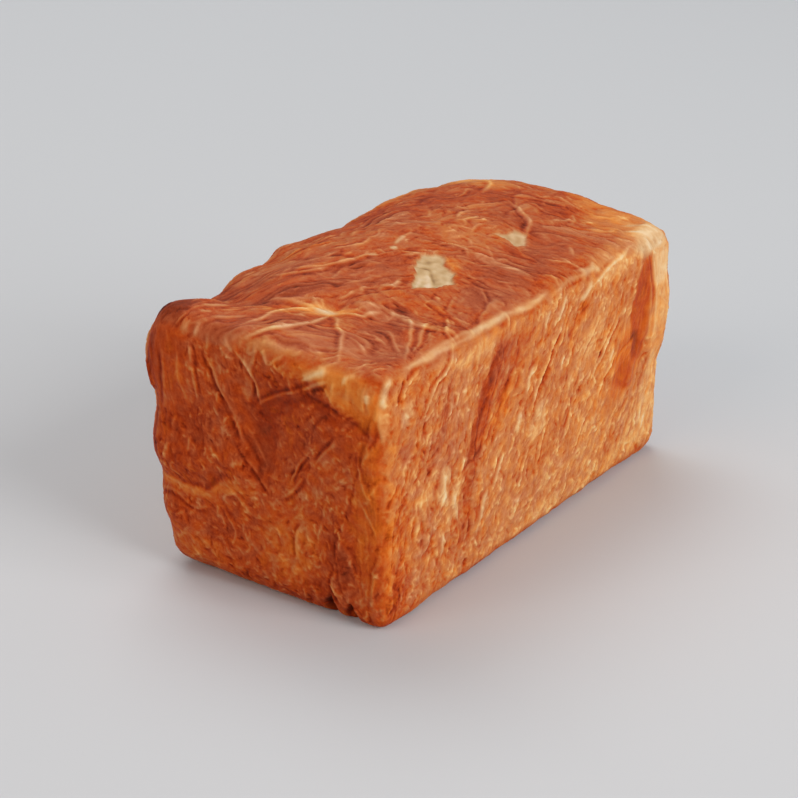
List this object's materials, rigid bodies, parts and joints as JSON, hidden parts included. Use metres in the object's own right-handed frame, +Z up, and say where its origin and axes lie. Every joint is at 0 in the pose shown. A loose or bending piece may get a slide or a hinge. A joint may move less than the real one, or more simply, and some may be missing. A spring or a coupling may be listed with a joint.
{
  "type": "danish pastry loaf",
  "caption": "Whole laminated dough loaf baked in a straight-sided tin, with a low uneven crown, flaky browned crust, folded layers on every side and a flat base to stand on.",
  "frame": {"origin": "on the table plane, under the middle of the loaf's outer box, on the flat base", "axes": "+X along the loaf from the near end in the picture to the far end, +Y across it to the long side out of sight, +Z up"},
  "size_m": [0.2102, 0.1106, 0.1102],
  "materials": {
    "crust": "baked laminated dough crust, golden to reddish brown, flaky with a faint buttery sheen"
  },
  "bodies": {
    "root": {"loaf": "crust"}
  },
  "joints": []
}
